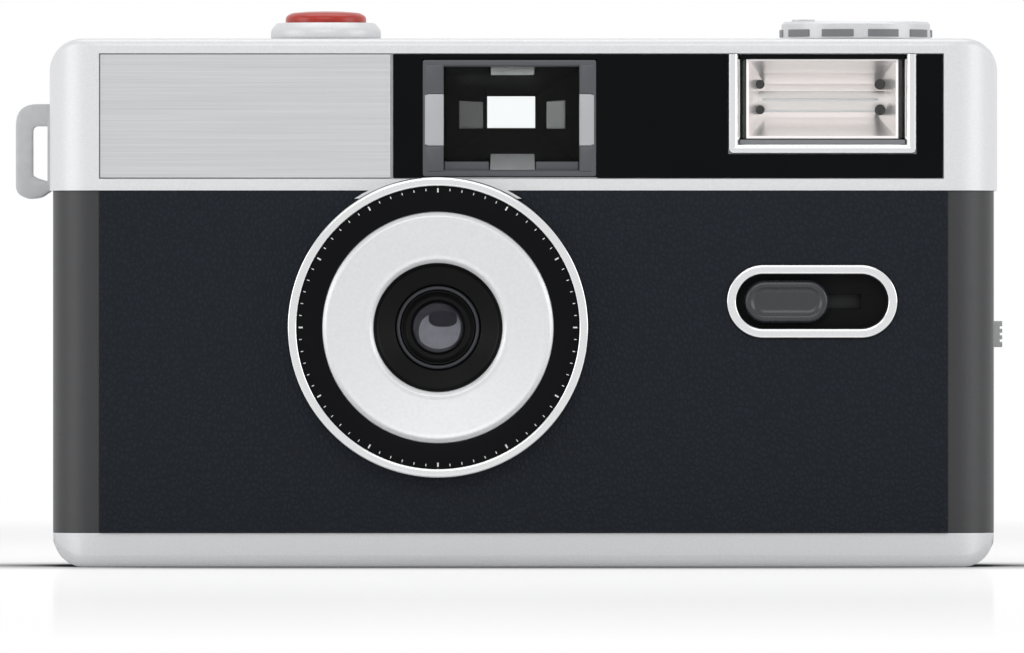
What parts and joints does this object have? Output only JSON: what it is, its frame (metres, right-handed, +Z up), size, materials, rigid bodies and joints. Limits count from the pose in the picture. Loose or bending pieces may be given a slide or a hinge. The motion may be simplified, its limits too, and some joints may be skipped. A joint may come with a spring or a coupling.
{
  "type": "compact film camera",
  "caption": "Compact 35 mm film camera: rounded box with lens ring, viewfinder, flash with slide switch, shutter button, thumb wheel, rewind crank and hinged back.",
  "frame": {"origin": "middle of the base's lower face, on the surface the camera stands on", "axes": "+X to the right seen from the front, +Y from the lens side to the back, +Z up"},
  "size_m": [0.1202, 0.0352, 0.0674],
  "materials": {
    "silver_paint": "satin silver-white paint",
    "black_moulding": "fine satin black moulding",
    "leatherette": "embossed leatherette, matt",
    "brushed_aluminium": "brushed along its length",
    "gloss_black": "polished",
    "clear_plastic": "clear moulding",
    "lens_glass": "polished, coated",
    "chrome_trim": "bright chrome plating",
    "silver_trim": "fine satin, bright edges",
    "reflector": "vacuum-plated bright",
    "flash_glass": "clear tube",
    "circuit_board": "green solder mask",
    "capacitor_sleeve": "shrink sleeve",
    "lamp": "clear orange",
    "brass": "bare",
    "steel": "bright steel",
    "button_red": "anodised red",
    "dial_white": "moulded, black figures",
    "lug_grey": "satin grey"
  },
  "bodies": {
    "camera_body": {"chassis": "black_moulding", "light_box": "black_moulding", "battery_holder": "black_moulding", "front_cover": "black_moulding", "front_leatherette": "leatherette", "top_cover": "silver_paint", "base_cover": "silver_paint", "case_screws": "steel", "door_hinge_pin": "steel", "latch_spring": "steel", "front_plate": "brushed_aluminium", "flash_panel": "gloss_black", "viewfinder_window": "clear_plastic", "viewfinder_tunnel": "black_moulding", "viewfinder_lenses": "lens_glass", "flash_bezel": "chrome_trim", "flash_lens": "clear_plastic", "flash_reflector": "reflector", "flash_tube": "flash_glass", "flash_board": "circuit_board", "flash_capacitor": "capacitor_sleeve", "ready_lamp": "lamp", "flash_switch_bezel": "chrome_trim", "brass_contacts": "brass", "lens_ring": "chrome_trim", "name_ring": "gloss_black", "lens_trim_ring": "silver_trim", "lens_barrel": "black_moulding", "lens_hood": "black_moulding", "lens_glass": "lens_glass", "aperture_plate": "black_moulding", "shutter_spring": "steel", "button_collar": "silver_trim", "button_spring": "steel", "counter_window": "clear_plastic", "release_spring": "steel", "strap_lug": "lug_grey"},
    "back_door": {"back_door": "black_moulding", "door_catch": "steel", "door_leatherette": "leatherette", "film_window": "clear_plastic", "pressure_spring": "steel"},
    "pressure_plate": {"pressure_plate": "black_moulding"},
    "door_latch": {"door_latch": "lug_grey"},
    "shutter_button": {"shutter_button": "button_red"},
    "release_lever": {"release_lever": "steel"},
    "shutter_blade": {"shutter_blade": "steel"},
    "film_advance": {"advance_wheel": "black_moulding", "takeup_spool": "black_moulding"},
    "sprocket": {"sprocket": "black_moulding"},
    "counter_dial": {"counter_dial": "dial_white"},
    "rewind_lift": {"rewind_washer": "steel"},
    "rewind_knob": {"rewind_knob": "silver_trim", "rewind_fork": "black_moulding", "crank_pin": "steel"},
    "rewind_crank": {"rewind_crank": "silver_trim"},
    "flash_switch": {"flash_switch": "black_moulding"},
    "battery_door": {"battery_door": "silver_paint", "battery_spring": "steel"},
    "rewind_release": {"rewind_release": "black_moulding"}
  },
  "joints": [
    {"name": "door_hinge", "type": "hinge", "parent": "camera_body", "child": "back_door", "pos_m": [-0.0553, 0.0133, 0.028], "axis": [0, 0, 1], "range_deg": [0, 110]},
    {"name": "pressure_plate_travel", "type": "slide", "parent": "back_door", "child": "pressure_plate", "axis": [0, 1, 0], "range_m": [0, 0.0003], "stiffness_N_per_m": 400, "springref_m": -0.0005},
    {"name": "latch_slide", "type": "slide", "parent": "camera_body", "child": "door_latch", "axis": [0, 0, 1], "range_m": [0, 0.003], "stiffness_N_per_m": 60, "springref_m": -0.001, "deforming": ["latch_spring"]},
    {"name": "button_press", "type": "slide", "parent": "camera_body", "child": "shutter_button", "axis": [0, 0, -1], "range_m": [0, 0.0013], "stiffness_N_per_m": 300, "springref_m": -0.0005, "deforming": ["button_spring"]},
    {"name": "lever_pivot", "type": "hinge", "parent": "camera_body", "child": "release_lever", "pos_m": [-0.0175, -0.0102, 0.047], "axis": [0, 1, 0], "range_deg": [-12, 0]},
    {"name": "shutter_pivot", "type": "hinge", "parent": "camera_body", "child": "shutter_blade", "pos_m": [-0.00275, -0.00995, 0.032], "axis": [0, 1, 0], "range_deg": [0, 35], "stiffness_Nm_per_rad": 0.0001, "springref_deg": -17.19},
    {"name": "film_advance_turn", "type": "hinge", "parent": "camera_body", "child": "film_advance", "pos_m": [-0.0402, 0.0016, 0.0556], "axis": [0, 0, 1], "continuous": true},
    {"name": "sprocket_turn", "type": "hinge", "parent": "camera_body", "child": "sprocket", "pos_m": [-0.0215, 0.00565, 0.0444], "axis": [0, 0, 1], "continuous": true},
    {"name": "counter_turn", "type": "hinge", "parent": "camera_body", "child": "counter_dial", "pos_m": [-0.0149, 0.00565, 0.0609], "axis": [0, 0, 1], "continuous": true},
    {"name": "rewind_lift", "type": "slide", "parent": "camera_body", "child": "rewind_lift", "axis": [0, 0, 1], "range_m": [0, 0.006]},
    {"name": "rewind_turn", "type": "hinge", "parent": "rewind_lift", "child": "rewind_knob", "pos_m": [0.0405, 0.0004, 0.065], "axis": [0, 0, 1], "continuous": true},
    {"name": "crank_fold", "type": "hinge", "parent": "rewind_knob", "child": "rewind_crank", "pos_m": [0.0463, 0.0004, 0.0656], "axis": [0, 1, 0], "range_deg": [0, 150]},
    {"name": "flash_switch_slide", "type": "slide", "parent": "camera_body", "child": "flash_switch", "axis": [1, 0, 0], "range_m": [0, 0.0064]},
    {"name": "battery_door_hinge", "type": "hinge", "parent": "camera_body", "child": "battery_door", "pos_m": [0.0175, 0.0009, 0.00085], "axis": [1, 0, 0], "range_deg": [0, 100]},
    {"name": "rewind_release_press", "type": "slide", "parent": "camera_body", "child": "rewind_release", "axis": [0, 0, 1], "range_m": [0, 0.0012], "stiffness_N_per_m": 200, "springref_m": -0.0005, "deforming": ["release_spring"]}
  ],
  "couplings": [
    {"joint": "lever_pivot", "follows": "button_press", "rad_per_m": -153.8},
    {"joint": "counter_turn", "follows": "sprocket_turn", "ratio": -0.025}
  ]
}
